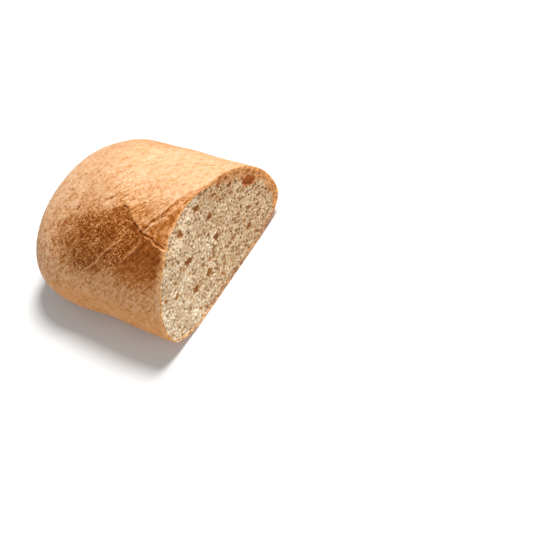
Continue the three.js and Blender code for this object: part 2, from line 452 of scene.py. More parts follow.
# The dark patch: its upper and lower edge as (along, around), and the back of the flap as (around, along)
PATCH_TOP = ((24, 115.5), (35, 109.5), (46, 103.5), (51, 106), (57, 107), (84, 115), (97, 122))
PATCH_BASE = ((24, 126), (36, 140), (65, 149), (90, 149), (97, 138))
FLAP_EDGE = ((117.5, 22.8), (121.5, 23.5), (126, 25), (129.5, 28.7), (137, 36), (150, 42))

# What each region adds to the plain crust: how dark it bakes, how lively its flecks are, how much pink blush
# it has; below zero the blush gives way to a gold tint, painted warm bounce light, mostly on the low near
# side
PLAIN_BAKE = 0.40
BAKE = {
    "crown": -0.16,
    "blotched_patch": 0.41,
    "flap": 0.50,
    "strip": 0.26,
    "shoulder": 0.17,
    "base": 0.22,
    "by_cut": -1.0,
    "pale_heel": -0.06,
    # Painted bounce light: the low near side is baked a little darker for its warm tint
    "low_side": 0.03,
    "far_side": -0.06,
    "drift": 0.06,
    "fine": 0.03,
}
PLAIN_LIVELY = 0.47
LIVELY = {
    "far_crown": -0.12,
    "low_side": -0.20,
    "far_side": -0.14,
    "patch": 0.17,
    "strip": 0.25,
    "shoulder": 0.2,
    "pale_heel": 0.22,
}
# The low near side's weight takes the blush below zero, into painted gold bounce light
ROSY = {"patch": -1.0, "strip": -1.0, "flap": -0.45, "shoulder": -1.3, "low_side": -1.7}
ROSY_RANGE = (-0.7, 1.0)


def crust_regions(along, degrees):
    """How far each place belongs to the regions that the oven browned differently; the low side also takes
    painted bounce light.
    """
    drift = wobble(along, degrees, size=9.0, seed=21.0)
    fine = wobble(along, degrees, size=3.5, seed=34.0)
    place_along = along + 5 * drift
    turn = degrees + 4 * drift + 1.5 * fine
    edge = interpolated(along, PATCH_TOP)
    soft = 0.5 + 6 * ease(52, 66, along)
    under_tear = ease(edge - soft, edge + soft, np.where(along < 58, degrees + 0.6 * fine, turn))
    above_base = 1 - ease(-9, 9, turn - interpolated(along, PATCH_BASE))
    behind_flap = ease(-0.8, 0.8, along - interpolated(degrees, FLAP_EDGE))
    patch = under_tear * above_base * behind_flap * (1 - ease(62, 118, place_along))
    blotch = np.clip(1.0 + 0.3 * wobble(along, degrees, size=13.0, seed=47.0), 0.65, 1.25)
    blotch = blotch + 0.38 * np.exp(-np.maximum(degrees - edge, 0) / 5) * (1 - ease(46, 58, along))
    fold, lip, open_share = tear_edges(along)
    inside = (open_share > 0) & (degrees < 200)
    strip = np.where(inside, ease(fold - 1, fold + 2, degrees) * (1 - ease(lip - 0.7, lip + 0.3, degrees)), 0)
    flap = np.where(degrees > 100, ease(-0.6, 0.1, degrees - lip) * (1 - behind_flap), 0)
    flap = flap * (1 - ease(131, 156, turn)) * (1 - 0.4 * (1 - ease(1, 11, along)) * ease(122, 138, degrees))
    crown = ease(28, 62, turn) * (1 - ease(86, 120, turn))
    shoulder = ease(4, 16, along) * (1 - ease(46, 68, place_along))
    shoulder = shoulder * ease(86, 106, turn) * (1 - ease(110, 120, degrees)) * (1 - patch) * (1 - strip)
    heelward = ease(66, 100, along) * ease(84, 112, turn) * (1 - ease(148, 172, turn))
    before_heel = 1 - ease(92, 124, along)
    base = ease(205, 262, degrees) * (1 - ease(278, 335, degrees))
    near, _ = rim_shares(np.radians(degrees))
    return {
        "drift": drift,
        "fine": fine,
        "patch": patch,
        "blotched_patch": patch * blotch,
        "strip": strip,
        "flap": flap,
        "crown": crown,
        "far_crown": crown * (1 - ease(74, 90, turn)),
        "shoulder": shoulder,
        "pale_heel": heelward * (1 - patch),
        "base": base * (0.35 + 0.65 * before_heel),
        "by_cut": near * (1 - ease(0.5, 5.5, along)) * (0.12 + 0.24 * flap),
        "low_side": ease(148, 172, degrees) * (1 - ease(190, 215, degrees)) * before_heel,
        "far_side": ((1 - ease(30, 66, turn)) + ease(300, 340, degrees)) * before_heel,
    }


def weighed(start, weights, regions):
    return start + sum(weight * regions[name] for name, weight in weights.items())


def browning(along, degrees):
    """Values over the crust: how baked and lively it is, its blush with the painted gold bounce light below
    zero, its dark patch and its torn strip.
    """
    regions = crust_regions(along, degrees)
    bake = weighed(PLAIN_BAKE, BAKE, regions)
    for middle, turned, radius, darker in BAKED_SPOTS:
        away = np.hypot(along - middle, (degrees - turned) * MM_PER_DEGREE) / radius
        bake = bake + darker * np.exp(-away ** 2 * (1 + 0.5 * regions["fine"]))
    return {
        "bake": np.clip(bake, 0, 1),
        "patch": regions["patch"],
        "strip": regions["strip"],
        "rosy": np.clip(weighed(1.0, ROSY, regions), *ROSY_RANGE),
        "lively": weighed(PLAIN_LIVELY, LIVELY, regions),
    }


SEAM = 270.0  # degrees round the section, on the base, where the fibres' coordinates start again
HEEL_FADE = (100.0, 117.0)  # from the cut, where the fibres fade out before the heel's middle


def fibre_coordinates(along, degrees):
    """Places along and across the dough's fibres, which wind round the loaf, and how plain they show."""
    around = ((degrees - SEAM) % 360 + SEAM - 360) * MM_PER_DEGREE
    return {
        "run": (along + around) * math.sqrt(0.5) * MM,
        "across": (along - around) * math.sqrt(0.5) * MM,
        "fibrous": 1 - ease(*HEEL_FADE, along),
    }


def smoothed(values, reach):
    """The running mean of values round a closed outline."""
    return sum(np.roll(values, step, axis=0) for step in range(-reach, reach + 1)) / (2 * reach + 1)


# The crust's mesh


def rim_thickness(around):
    """Crust thickness at the cut."""
    near, _ = rim_shares(around)
    return RIM * (1 + 0.25 * near) * (1 + 0.5 * np.sin(17 * around) * np.sin(5 * around + 1))


def cut_outline(around, inset=0.0):
    """The outline of the cut, set in from the crust by a distance at each angle, as across and up."""
    outline = crust_points(np.zeros_like(around), around)[:, 1:]
    ahead = np.roll(outline, -1, axis=0) - np.roll(outline, 1, axis=0)
    inward = np.stack([-ahead[:, 1], ahead[:, 0]], axis=-1)
    inward = smoothed(inward, len(around) // 60)
    inward /= np.maximum(np.linalg.norm(inward, axis=1, keepdims=True), 1e-9)
    return outline + inward * np.reshape(inset, (-1, 1))


RIM_RINGS = 3
RIM_BACK = 0.05  # least depth of the rim behind the cut
RIM_SET_IN = 6.0  # how much narrower the recess is at its back
RETREAT_LEAST = 0.1
RETREAT_QUICK = 1.1  # short notches, most of all on the base
RETREAT_SLOW = 1.6  # longer ones along the near side and the strip
RETREAT_REACH = 6.5  # how far from the cut the skin is drawn back
SAG = 3.0  # how far the cut falls back by the strip
SAG_REACH = 24.0  # along the skin
SAG_INWARD = 12.0  # over the crumb


def crust_retreat(around):
    """How far the broken edge of the crust stands back from the cut."""
    degrees = np.degrees(around) % 360
    cut = np.zeros_like(degrees)
    slow = ease(-0.35, 0.8, wobble(cut, degrees, size=4.5, seed=61.0))
    quick = ease(-0.3, 0.9, wobble(cut, degrees, size=1.7, seed=67.0))
    near, base = rim_shares(around)
    strip = ease(80, 94, degrees) * (1 - ease(112, 120, degrees))
    longer = RETREAT_SLOW * slow * np.maximum(near, 0.5 * strip)
    return RETREAT_LEAST + RETREAT_QUICK * quick * (0.35 + base) + longer


def cut_sag(around):
    """How far the cut itself falls back where the dough is torn."""
    degrees = np.degrees(around) % 360
    return SAG * ease(74, 91, degrees) * (1 - ease(114, 128, degrees))


def ring_stations(end):
    """Distances of the crust's rings from the cut, closest together by the tear."""
    fine = np.linspace(0, end, 4001)
    cells = np.concatenate([[0], np.cumsum(np.diff(fine) / interpolated(fine[1:], SKIN_STEPS))])
    return np.interp(np.linspace(0, cells[-1], round(cells[-1]) + 1), cells, fine)


def crust_mesh():
    """The closed shell of the crust: its skin and heel, the rim at the cut, and the recess for the crumb."""
    angles = perimeter_angles(SKIN_CELLS, SKIN_CORNERS)[:-1]
    count = len(angles)
    stations = ring_stations(LENGTH * superellipse(HEEL_FACE, HEEL_IN_PLAN))
    side_along = np.repeat(stations, count)
    side_around = np.tile(angles, len(stations))
    out, turned = square_grid(SKIN_CELLS, SKIN_CORNERS)
    heel_out = out[1:-1, 1:-1].ravel()
    heel_along = LENGTH * superellipse(HEEL_FACE * heel_out, HEEL_IN_PLAN)
    along = np.concatenate([side_along, heel_along])
    around = np.concatenate([side_around, turned[1:-1, 1:-1].ravel()])
    degrees = np.degrees(around) % 360
    height, crack, ridge = crease_relief(along, degrees)
    skin = crust_points(along, around, height)
    pulled = crust_retreat(angles)
    skin[:, 0] -= crust_retreat(around) * np.maximum(1 - along / RETREAT_REACH, 0) ** 2
    skin[:, 0] -= cut_sag(around) * np.maximum(1 - along / SAG_REACH, 0) ** 2
    sag = cut_sag(angles)
    masks = {**browning(along, degrees), **fibre_coordinates(along, degrees)}

    rings = np.arange(side_along.size).reshape(len(stations), count)
    faces = [band_quads(rings[i], rings[i + 1]) for i in range(len(stations) - 1)]
    numbers = np.zeros(out.shape, dtype=int)
    border = border_order(SKIN_CELLS)
    numbers[border[:, 0], border[:, 1]] = rings[-1]
    numbers[1:-1, 1:-1] = rings.size + np.arange(heel_out.size).reshape(numbers[1:-1, 1:-1].shape)
    faces.append(grid_quads(numbers)[:, ::-1])

    rim_points = []
    thickness = rim_thickness(angles)
    for ring in range(1, RIM_RINGS + 1):
        share = ring / RIM_RINGS
        flat = cut_outline(angles, thickness * share)
        rim_points.append(np.column_stack([CUT_AT - RIM_BACK - sag - pulled * (1 - share) ** 1.5, flat]))
    flat = cut_outline(angles, thickness + RIM_SET_IN)
    rim_points.append(np.column_stack([np.full(count, CUT_AT - RECESS), flat]))
    rim_numbers = len(skin) + np.arange(count * len(rim_points)).reshape(len(rim_points), count)
    inward = [rings[0], *rim_numbers]
    faces += [band_quads(inward[i + 1], inward[i]) for i in range(len(inward) - 1)]
    centre = len(skin) + rim_numbers.size
    fan = np.stack([rim_numbers[-1], np.roll(rim_numbers[-1], -1), np.full(count, centre)], axis=-1)

    points = np.concatenate([skin, *rim_points, [[CUT_AT - RECESS, 0, HEIGHT / 2]]]) - SHIFT
    added = len(points) - len(skin)
    free = ease(0, 2.5, along)
    near, base = rim_shares(around)
    values = {"crack": crack, "ridge": ridge, "free": free, "near_rim": near, "base_rim": base, **masks}
    attributes = {key: np.concatenate([value, np.zeros(added)]) for key, value in values.items()}
    for key, value in zip(("near_rim", "base_rim"), rim_shares(angles)):
        attributes[key][len(skin):-1] = np.tile(value, len(rim_points))
    attributes["rim"] = np.concatenate([np.zeros(len(skin)), np.ones(added)])
    quads = np.concatenate(faces).tolist()
    return mesh_from("crust", points, quads + fan.tolist(), attributes)


# The crumb's mesh: a plug whose front is the cut face


CRUMB_OVERLAP = (0.15, 0.8)  # least and most share of the crust's rim that the crumb's edge runs out over
SIDE_OVERLAP = 0.15  # added on the near side and the base
CRUMB_BACK = 0.1  # how far the crumb's tips lie behind the cut
BORDER_SINK = 0.45  # how much further back its edge lies where it keeps clear of the rim
BORDER_WIDTH = 0.8
FACE_MIDDLE = np.array([0.0, 0.45 * HEIGHT])  # across and up
PLUG_GAP = 0.5  # between the back of the plug and the crust's recess
# Degrees round the section, and how deep the toasted crumb reaches in there
TOAST_DEPTH = ((-42, 0.1), (-24, 7.0), (8, 10.0), (30, 13.0), (48, 11.5), (66, 5.5), (80, 0.1))
TOAST_SOFT = 0.35  # share of that depth where the browning is full


def bubble_share(bubble, across, up):
    """Distance from a bubble's middle, by its radius in that direction."""
    middle, height, long, short, tilt, _ = bubble
    turn = math.radians(tilt)
    ahead = (across - middle) * math.cos(turn) + (up - height) * math.sin(turn)
    aside = (up - height) * math.cos(turn) - (across - middle) * math.sin(turn)
    return np.hypot(ahead / long, aside / short)


def crumb_mesh():
    """The closed plug of the crumb: a fine grid on the cut face and a plain back."""
    out, turned = square_grid(CRUMB_CELLS, CRUMB_CORNERS)
    angles = perimeter_angles(CRUMB_CELLS, CRUMB_CORNERS)[:-1]
    least, most = CRUMB_OVERLAP
    wander = ease(-0.7, 0.7, wobble(np.zeros(len(angles)), np.degrees(angles), size=2.6, seed=91.0))
    near, base = rim_shares(angles)
    most = most + SIDE_OVERLAP * (near + base)
    inset = rim_thickness(angles) * (1 - least - (most - least) * wander)
    outline = cut_outline(angles, inset)
    border = border_order(CRUMB_CELLS)
    ordered = np.argsort(angles % (2 * np.pi))
    period = 2 * np.pi

    def round_the_rim(values):
        return np.interp(turned % period, (angles % period)[ordered], values[ordered], period=period)

    across = round_the_rim(outline[:, 0]) - FACE_MIDDLE[0]
    up = round_the_rim(outline[:, 1]) - FACE_MIDDLE[1]
    clear = round_the_rim(1 - wander)
    edge = (1 - out) * np.hypot(across, up)
    sag = cut_sag(turned) * (1 - ease(0, SAG_INWARD, edge))
    front = np.stack(
        [
            CUT_AT - CRUMB_BACK - BORDER_SINK * clear * (1 - ease(0, BORDER_WIDTH, edge)) - sag,
            FACE_MIDDLE[0] + across * out,
            FACE_MIDDLE[1] + up * out,
        ],
        axis=-1,
    ).reshape(-1, 3)
    edge = edge.ravel()
    around = turned.ravel()
    deep = interpolated((np.degrees(around) + 180) % 360 - 180, TOAST_DEPTH)
    toast = ease(0, 1, deep) * (1 - ease(TOAST_SOFT * deep, deep, edge))
    toast = np.maximum(toast, 1 - ease(0.9, 1.15, bubble_share(LARGE_BUBBLES[0], front[:, 1], front[:, 2])))
    near, base = rim_shares(around)
    past_fold = ease(FOLD_AT_CUT - 3, FOLD_AT_CUT + 9, np.degrees(around) % 360) * (1 - base)
    base_rind = RIND_CORNER + (RIND_BASE - RIND_CORNER) * ease(-45, -5, front[:, 1])
    crown_rind = RIND_CROWN * (1 + ease(4, 12, deep))
    rind = edge / (crown_rind + (RIND_NEAR - crown_rind) * past_fold + (base_rind - crown_rind) * base)
    numbers = np.arange(out.size).reshape(out.shape)
    rim = numbers[border[:, 0], border[:, 1]]
    behind = cut_outline(angles, inset + RIM_SET_IN)
    plug_back = CUT_AT - RECESS + PLUG_GAP
    back_points = np.column_stack([np.full(len(rim), plug_back), behind])
    back = out.size + np.arange(len(rim))
    middle = out.size + len(rim)
    fan = np.stack([np.roll(back, -1), back, np.full(len(rim), middle)], axis=-1)
    points = np.concatenate([front, back_points, [[plug_back, *FACE_MIDDLE]]]) - SHIFT
    added = len(rim) + 1
    attributes = {
        "edge": edge,
        "rind": rind,
        "near_rim": near,
        "base_rim": base,
        "toast": toast,
        "face": np.ones(len(front)),
    }
    attributes = {key: np.concatenate([value, np.zeros(added)]) for key, value in attributes.items()}
    quads = np.concatenate([grid_quads(numbers), band_quads(rim, back)]).tolist()
    mesh = mesh_from("crumb", points, quads + fan.tolist(), attributes)
    ends = np.empty(2 * len(mesh.edges), dtype=np.int32)
    mesh.edges.foreach_get("vertices", ends)
    on_rim = np.isin(ends.reshape(-1, 2), rim).all(axis=1)
    mesh.attributes.new("sharp_edge", "BOOLEAN", "EDGE").data.foreach_set("value", on_rim)
    return mesh


# Node trees: sockets that can be added and multiplied, and small helpers that place a node


class Field:
    """A socket of a node tree. Arithmetic with it places the nodes that work out the result."""

    def __init__(self, tree, socket):
        self.tree = tree
        self.socket = socket

    def __add__(self, other):
        return maths("ADD", self, other)

    def __sub__(self, other):
        return maths("SUBTRACT", self, other)

    def __rsub__(self, other):
        return maths("SUBTRACT", other, self)

    def __mul__(self, other):
        return maths("MULTIPLY", self, other)

    def __truediv__(self, other):
        return maths("DIVIDE", self, other)

    def __rtruediv__(self, other):
        return maths("DIVIDE", other, self)

    def __gt__(self, other):
        return maths("GREATER_THAN", self, other)

    def __lt__(self, other):
        return maths("LESS_THAN", self, other)

    def to(self, socket):
        self.tree.links.new(self.socket, socket)


class Outputs:
    """A placed node, whose outputs are fields by name or number."""

    def __init__(self, tree, node):
        self.tree = tree
        self.node = node

    def __getitem__(self, key):
        return Field(self.tree, self.node.outputs[key])


def place(tree, kind, inputs=None, **settings):
    """A new node with its settings made and its inputs set or linked."""
    made = tree.nodes.new(kind)
    for name, value in settings.items():
        setattr(made, name, value)
    for key, value in (inputs or {}).items():
        if isinstance(value, Field):
            value.to(made.inputs[key])
        else:
            made.inputs[key].default_value = value
    return Outputs(tree, made)


def tree_of(*values):
    return next(value.tree for value in values if isinstance(value, Field))


def maths(operation, *values, clamp=False):
    inputs = dict(enumerate(values))
    return place(tree_of(*values), "ShaderNodeMath", inputs, operation=operation, use_clamp=clamp)[0]


def vectors(operation, *values):
    """Vector arithmetic, which gives a number for a distance or a dot product."""
    made = place(tree_of(*values), "ShaderNodeVectorMath", dict(enumerate(values)), operation=operation)
    return made["Value" if operation in ("DISTANCE", "DOT_PRODUCT") else "Vector"]


def scaled(vector, factor):
    inputs = {0: vector, "Scale": factor}
    return place(vector.tree, "ShaderNodeVectorMath", inputs, operation="SCALE")["Vector"]


def remap(value, low, high, to_low=0.0, to_high=1.0, smooth=False):
    inputs = {"Value": value, "From Min": low, "From Max": high, "To Min": to_low, "To Max": to_high}
    kind = "SMOOTHSTEP" if smooth else "LINEAR"
    return place(value.tree, "ShaderNodeMapRange", inputs, interpolation_type=kind)["Result"]


def summed(start, *weighted):
    """A start value with further values added to it, each times its weight."""
    for value, weight in weighted:
        start = maths("MULTIPLY_ADD", value, weight, start)
    return start


SOCKET_KINDS = {float: "Float", int: "Int", bool: "Bool", tuple: "Vector"}  # of inputs that have a default


def new_tree(name, kind, inputs, outputs):
    """A node group with named sockets. An input is given by its default or, without one, by its kind."""
    tree = bpy.data.node_groups.new(name, kind)
    for socket, default in inputs.items():
        plain = SOCKET_KINDS.get(type(default))
        socket_type = "NodeSocket" + (plain or default)
        made = tree.interface.new_socket(socket, in_out="INPUT", socket_type=socket_type)
        if plain:
            made.default_value = default
    for socket, socket_kind in outputs.items():
        tree.interface.new_socket(socket, in_out="OUTPUT", socket_type="NodeSocket" + socket_kind)
    given = Outputs(tree, tree.nodes.new("NodeGroupInput"))
    return tree, given, tree.nodes.new("NodeGroupOutput").inputs


def use_group(tree, group, inputs):
    kind = "ShaderNodeGroup" if tree.bl_idname == "ShaderNodeTree" else "GeometryNodeGroup"
    return place(tree, kind, inputs, node_tree=group)


def position(tree):
    return place(tree, "GeometryNodeInputPosition")[0]


def stored_value(tree, name, kind="FLOAT"):
    return place(tree, "GeometryNodeInputNamedAttribute", {"Name": name}, data_type=kind)["Attribute"]


def stored(geometry, name, value, kind="FLOAT"):
    inputs = {"Geometry": geometry, "Name": name, "Value": value}
    made = place(geometry.tree, "GeometryNodeStoreNamedAttribute", inputs, data_type=kind, domain="POINT")
    return made["Geometry"]


def moved_by(geometry, offset):
    return place(geometry.tree, "GeometryNodeSetPosition", {"Geometry": geometry, "Offset": offset})[0]


def random_value(tree, low, high, seed, kind="FLOAT"):
    """A random number or vector at each point."""
    first = 0 if kind == "FLOAT_VECTOR" else 2
    inputs = {first: low, first + 1: high, "Seed": seed}
    return place(tree, "FunctionNodeRandomValue", inputs, data_type=kind)[first // 2]


def noise_field(vector, size, detail=2.0, output="Fac"):
    inputs = {"Vector": vector, "Scale": 1.0 / size, "Detail": detail}
    return place(vector.tree, "ShaderNodeTexNoise", inputs)[output]


def stretched_noise(vector, size, detail=2.0):
    """Noise stretched to run from about -1 to 1."""
    return remap(noise_field(vector, size, detail), 0.3, 0.7, -1.0, 1.0)


def realized(geometry):
    return place(geometry.tree, "GeometryNodeRealizeInstances", {"Geometry": geometry})[0]


def finish_tree(geometry, material, result):
    inputs = {"Geometry": realized(geometry), "Material": material}
    place(geometry.tree, "GeometryNodeSetMaterial", inputs)[0].to(result["Geometry"])


def apply_tree(piece, tree, values):
    """Runs a tree on a piece with its named inputs set, and keeps the result as a plain mesh."""
    modifier = piece.modifiers.new(tree.name, "NODES")
    modifier.node_group = tree
    for item in tree.interface.items_tree:
        if item.item_type == "SOCKET" and item.in_out == "INPUT" and item.name in values:
            modifier[item.identifier] = values[item.name]
    depsgraph = bpy.context.evaluated_depsgraph_get()
    shaped = piece.evaluated_get(depsgraph)
    mesh = bpy.data.meshes.new_from_object(shaped, preserve_all_data_layers=True, depsgraph=depsgraph)
    piece.modifiers.remove(modifier)
    mesh.name = piece.name
    piece.data = mesh


# Geometry Nodes: bubbles scattered on a surface, and the dents they make in it


GEOMETRY_OUT = {"Geometry": "Geometry"}
MOST_POINTS = 4e6  # on a square metre, before those too close together go
MOSTLY_SMALL = 1.8  # power that makes small bubbles outnumber large ones
SHALLOWEST = 0.4  # depth of a scattered bubble, beside the deepest
STRETCH_SEED = 11
HEADING_SEED = 12
HOLLOW_SEED = 13


def scatter_tree():
    """Points on a surface with a radius, a stretch, the direction of that stretch and a depth."""
    inputs = {
        "Surface": "Geometry",
        "Selection": True,
        "Spacing": 0.003,
        "Smallest": 0.0005,
        "Largest": 0.001,
        "Longest": 1.6,
        "Seed": 1,
    }
    tree, given, result = new_tree("scatter_bubbles", "GeometryNodeTree", inputs, {"Points": "Geometry"})
    inputs = {
        "Mesh": given["Surface"],
        "Selection": given["Selection"],
        "Distance Min": given["Spacing"],
        "Density Max": MOST_POINTS,
        "Seed": given["Seed"],
    }
    points = place(tree, "GeometryNodeDistributePointsOnFaces", inputs, distribute_method="POISSON")["Points"]
    size = maths("POWER", random_value(tree, 0.0, 1.0, given["Seed"]), MOSTLY_SMALL)
    away = random_value(tree, (-1, -1, -1), (1, 1, 1), HEADING_SEED, "FLOAT_VECTOR")
    points = stored(points, "radius", remap(size, 0.0, 1.0, given["Smallest"], given["Largest"]))
    points = stored(points, "stretch", random_value(tree, 1.0, given["Longest"], STRETCH_SEED))
    points = stored(points, "hollow", random_value(tree, SHALLOWEST, 1.0, HOLLOW_SEED))
    stored(points, "heading", vectors("NORMALIZE", away), "FLOAT_VECTOR").to(result["Points"])
    return tree


def dent_tree():
    """How deep each place of a surface lies in the nearest of a set of bubbles."""
    inputs = {"Points": "Geometry", "Ragged": 0.0002, "Ragged Size": 0.0015, "Depth": 0.8, "Steepness": 0.5}
    tree, given, result = new_tree("bubble_dents", "GeometryNodeTree", inputs, {"Dent": "Float"})
    warp = noise_field(position(tree), given["Ragged Size"], output="Color")
    warp = vectors("SUBTRACT", warp, (0.5, 0.5, 0.5))
    here = vectors("ADD", position(tree), scaled(warp, given["Ragged"] * 4.0))
    inputs = {"Geometry": given["Points"], "Sample Position": here}
    nearest = place(tree, "GeometryNodeSampleNearest", inputs, domain="POINT")[0]

    def of_nearest(value, kind="FLOAT"):
        sampled = {"Geometry": given["Points"], "Value": value, "Index": nearest}
        return place(tree, "GeometryNodeSampleIndex", sampled, data_type=kind, domain="POINT")[0]

    centre = of_nearest(position(tree), "FLOAT_VECTOR")
    heading = of_nearest(stored_value(tree, "heading", "FLOAT_VECTOR"), "FLOAT_VECTOR")
    names = ("radius", "stretch", "hollow")
    radius, stretch, hollow = (of_nearest(stored_value(tree, name)) for name in names)
    offset = vectors("SUBTRACT", here, centre)
    ahead = vectors("DOT_PRODUCT", offset, heading)
    eased = ahead * ahead * (1.0 - 1.0 / (stretch * stretch))
    square = vectors("DOT_PRODUCT", offset, offset) - eased
    share = maths("SQRT", maths("MAXIMUM", square, 0.0)) / radius
    inside = maths("MAXIMUM", 1.0 - share * share, 0.0)
    bowl = maths("POWER", inside, given["Steepness"]) * (radius * hollow)
    (bowl * given["Depth"]).to(result["Dent"])
    return tree


SCATTER = scatter_tree()
DENT = dent_tree()
FIBRE_STRETCH = 0.12  # how much finer the fibres are across than along


def fibre_vector(tree, read):
    """Coordinates on the crust that are drawn out along the dough's fibres."""
    inputs = {"X": read(tree, "run") * FIBRE_STRETCH, "Y": read(tree, "across")}
    return place(tree, "ShaderNodeCombineXYZ", inputs)[0]


def blister_field(vector, size):
    """Small round swellings: 1 in the middle of each, falling to 0 between them."""
    inputs = {"Vector": vector, "Scale": 1.0 / size, "Randomness": 1.0, "Smoothness": 0.3}
    cells = place(vector.tree, "ShaderNodeTexVoronoi", inputs, feature="SMOOTH_F1")
    return remap(cells["Distance"], 0.08, 0.62, 1.0, 0.0, smooth=True)


PER_METRE = 1000.0  # millimetres, in which the materials read depths
LARGE_DENTS = {"Ragged": 0.0015, "Ragged Size": 0.0030, "Depth": 1.0, "Steepness": 0.7}
DENT_RAGGED_SIZE = 0.0018
LONGEST_BUBBLE = 2.0
# Tiers of the crumb's bubbles: spacing, smallest and largest; then the seed's step, the room to the
# crust in millimetres, and the dents' depth, raggedness and steepness
TIER_SIZES = {
    "Middle": (0.0068, 0.0009, 0.0026),
    "Small": (0.0027, 0.0006, 0.0015),
    "Tiny": (0.0014, 0.0003, 0.0007),
}
TIER_DENTS = {
    "Middle": (0.0, 1.8, 0.78, 0.0009, 0.9),
    "Small": (5.0, 1.0, 1.1, 0.0004, 0.5),
    "Tiny": (9.0, 0.6, 1.1, 0.0003, 0.5),
}
SIZE_WORDS = ("Spacing", "Smallest", "Largest")


def crumb_tree():
    """The open crumb: large, middling and small bubbles in a fine foam, cut in one plane."""
    inputs = {"Geometry": "Geometry", "Large Bubbles": "Object", "Material": "Material", "Seed": 3}
    inputs.update({"Torn Size": 0.0036, "Torn Depth": 0.0008, "Grain Size": 0.0016, "Grain Depth": 0.0006})
    for name, sizes in TIER_SIZES.items():
        inputs.update({f"{name} {word}": size for word, size in zip(SIZE_WORDS, sizes)})
    tree, given, result = new_tree("open_crumb", "GeometryNodeTree", inputs, GEOMETRY_OUT)
    here = position(tree)
    edge = stored_value(tree, "edge")
    on_face = stored_value(tree, "face") > 0.5
    large = place(tree, "GeometryNodeObjectInfo", {"Object": given["Large Bubbles"]})["Geometry"]
    dents = [use_group(tree, DENT, {"Points": large, **LARGE_DENTS})["Dent"]]
    for name, (seed_step, border, depth, ragged, steepness) in TIER_DENTS.items():
        inputs = {word: given[f"{name} {word}"] for word in SIZE_WORDS}
        inputs.update({"Surface": given["Geometry"], "Selection": on_face * (edge > border)})
        inputs.update({"Longest": LONGEST_BUBBLE, "Seed": given["Seed"] + seed_step})
        points = use_group(tree, SCATTER, inputs)["Points"]
        inputs = {"Points": points, "Ragged": ragged, "Ragged Size": DENT_RAGGED_SIZE}
        inputs.update({"Depth": depth, "Steepness": steepness})
        dents.append(use_group(tree, DENT, inputs)["Dent"])
    bubble = maths("MAXIMUM", dents[0], dents[1])
    smooth = remap(bubble, 0.0001, 0.0008, 1.0, 0.1)
    foam = maths("MAXIMUM", dents[2], dents[3]) * smooth
    torn = noise_field(here, given["Torn Size"], 3.0) + noise_field(here, 0.009)
    torn = remap(torn, 0.7, 1.3, 0.0, given["Torn Depth"]) * smooth
    grain = remap(noise_field(here, given["Grain Size"]), 0.35, 0.65, given["Grain Depth"], 0.0) * smooth
    total = maths("MAXIMUM", bubble, foam) + (torn + grain)
    total = total * remap(edge, 0.0, 0.6, smooth=True) * on_face
    kept = given["Geometry"]
    for name, depth in (("bubble", bubble), ("foam", foam), ("torn", torn), ("grain", grain)):
        kept = stored(kept, name, depth * PER_METRE)
    inward = place(tree, "ShaderNodeCombineXYZ", {"X": total * -1.0})[0]
    finish_tree(moved_by(kept, inward), given["Material"], result)
    return tree


PIT_DENTS = {"Ragged": 0.0003, "Ragged Size": 0.0016, "Depth": 1.1}


def crust_tree():
    """The baked skin: leathery grain and fibres, blisters where it is darkest, and a few pits."""
    inputs = {
        "Geometry": "Geometry",
        "Grain Size": 0.0032,
        "Grain Depth": 0.00022,
        "Fibre Size": 0.0020,
        "Fibre Depth": 0.00020,
        "Blister Size": 0.0021,
        "Blister Depth": 0.00020,
        "Pit Spacing": 0.02,
        "Pit Smallest": 0.0003,
        "Pit Largest": 0.0008,
        "Seed": 4,
        "Material": "Material",
    }
    tree, given, result = new_tree("baked_skin", "GeometryNodeTree", inputs, GEOMETRY_OUT)
    here = position(tree)
    grain = stretched_noise(here, given["Grain Size"]) * given["Grain Depth"]
    fibre = stretched_noise(fibre_vector(tree, stored_value), given["Fibre Size"])
    fibre = fibre * given["Fibre Depth"] * stored_value(tree, "fibrous")
    blister = blister_field(here, given["Blister Size"]) * given["Blister Depth"]
    raised = (grain + fibre) * stored_value(tree, "lively") + blister * stored_value(tree, "patch")
    inputs = {word: given[f"Pit {word}"] for word in SIZE_WORDS}
    inputs.update({"Surface": given["Geometry"], "Seed": given["Seed"]})
    pits = use_group(tree, SCATTER, inputs)["Points"]
    pit = use_group(tree, DENT, {"Points": pits, **PIT_DENTS})["Dent"]
    kept = stored(given["Geometry"], "pit", pit * PER_METRE)
    kept = stored(kept, "raised", raised * PER_METRE)
    height = (raised - pit) * stored_value(tree, "free")
    outward = scaled(place(tree, "GeometryNodeInputNormal")[0], height)
    finish_tree(moved_by(kept, outward), given["Material"], result)
    return tree


LOOSE_SIZES = (0.35, 1.6)  # of the clinging crumbs, by their radius
FULL_TURN = (6.2, 6.2, 6.2)
TURN_SEED = 21
# What a clinging crumb's surface says to the crumb's material, in millimetres
LOOSE_VALUES = {"edge": 9.0, "toast": 0.0, "bubble": 0.0, "foam": 0.0, "torn": 0.2, "grain": 0.1}


